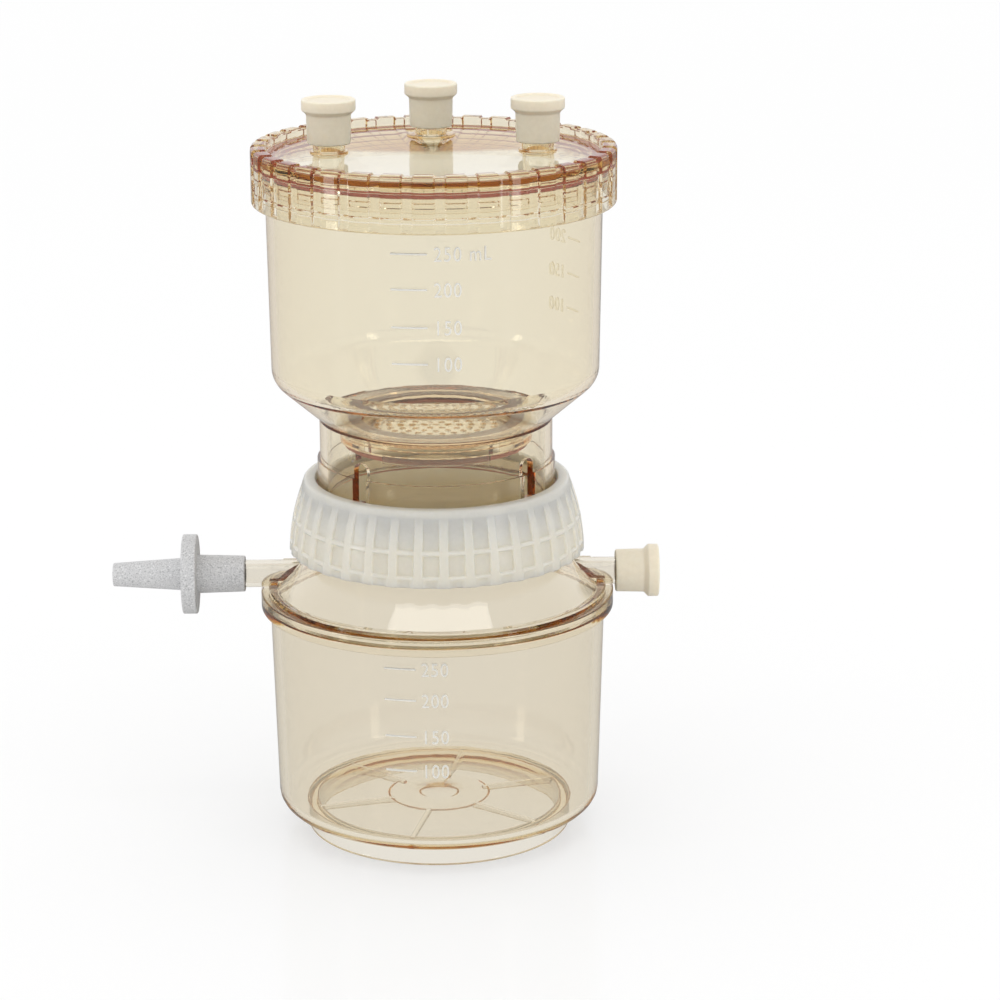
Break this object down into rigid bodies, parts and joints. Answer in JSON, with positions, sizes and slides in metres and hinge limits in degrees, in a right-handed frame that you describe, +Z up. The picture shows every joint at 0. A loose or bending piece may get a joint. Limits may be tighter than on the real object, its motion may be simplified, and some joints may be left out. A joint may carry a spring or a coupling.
{
  "type": "vacuum filtration unit",
  "caption": "Amber transparent filtration unit: a lidded funnel chamber clamped by a white ribbed collar to a round receiver with a hose nozzle on one side arm and a plug on the other.",
  "frame": {"origin": "centre of the ring foot's underside", "axes": "+Z up along the vessels' common axis; the hose nozzle points along -X, the plugged arm along +X and the graduated side faces -Y"},
  "size_m": [0.1455, 0.0946, 0.197],
  "materials": {
    "amber_polysulfone": "clear amber, polished moulding",
    "white_polypropylene": "white moulded plastic with a soft sheen",
    "pale_plug": "natural translucent moulded plastic",
    "grey_fitting": "grey moulded plastic with fine speckles",
    "pink_silicone": "soft matt silicone",
    "red_silicone": "soft matt silicone"
  },
  "bodies": {
    "receiver": {"receiver_bowl": "amber_polysulfone", "receiver_shoulder": "amber_polysulfone", "receiver_gasket": "pink_silicone"},
    "chamber": {"upper_chamber": "amber_polysulfone", "seat_gasket": "pink_silicone"},
    "collar": {"locking_collar": "white_polypropylene"},
    "plate": {"support_plate": "amber_polysulfone", "plate_ring": "pink_silicone"},
    "lid": {"cover_lid": "amber_polysulfone", "lid_gasket": "red_silicone"},
    "left_plug": {"lid_plug_left": "pale_plug"},
    "back_plug": {"lid_plug_back": "pale_plug"},
    "right_plug": {"lid_plug_right": "pale_plug"},
    "arm_plug": {"side_plug": "pale_plug"},
    "nozzle": {"hose_adapter": "grey_fitting"}
  },
  "joints": [
    {"name": "chamber_lift", "type": "slide", "parent": "receiver", "child": "chamber", "axis": [0, 0, 1], "range_m": [0, 0.1]},
    {"name": "collar_turn", "type": "hinge", "parent": "chamber", "child": "collar", "pos_m": [0, 0, 0.0871], "axis": [0, 0, 1], "range_deg": [0, 720]},
    {"name": "plate_twist", "type": "hinge", "parent": "chamber", "child": "plate", "pos_m": [0, 0, 0.109], "axis": [0, 0, 1], "range_deg": [0, 90]},
    {"name": "lid_lift", "type": "slide", "parent": "chamber", "child": "lid", "axis": [0, 0, 1], "range_m": [0, 0.04]},
    {"name": "left_plug_pull", "type": "slide", "parent": "lid", "child": "left_plug", "axis": [0, 0, 1], "range_m": [0, 0.02]},
    {"name": "back_plug_pull", "type": "slide", "parent": "lid", "child": "back_plug", "axis": [0, 0, 1], "range_m": [0, 0.02]},
    {"name": "right_plug_pull", "type": "slide", "parent": "lid", "child": "right_plug", "axis": [0, 0, 1], "range_m": [0, 0.02]},
    {"name": "arm_plug_pull", "type": "slide", "parent": "receiver", "child": "arm_plug", "axis": [1, 0, 0], "range_m": [0, 0.02]},
    {"name": "nozzle_pull", "type": "slide", "parent": "receiver", "child": "nozzle", "axis": [-1, 0, 0], "range_m": [0, 0.03]}
  ]
}
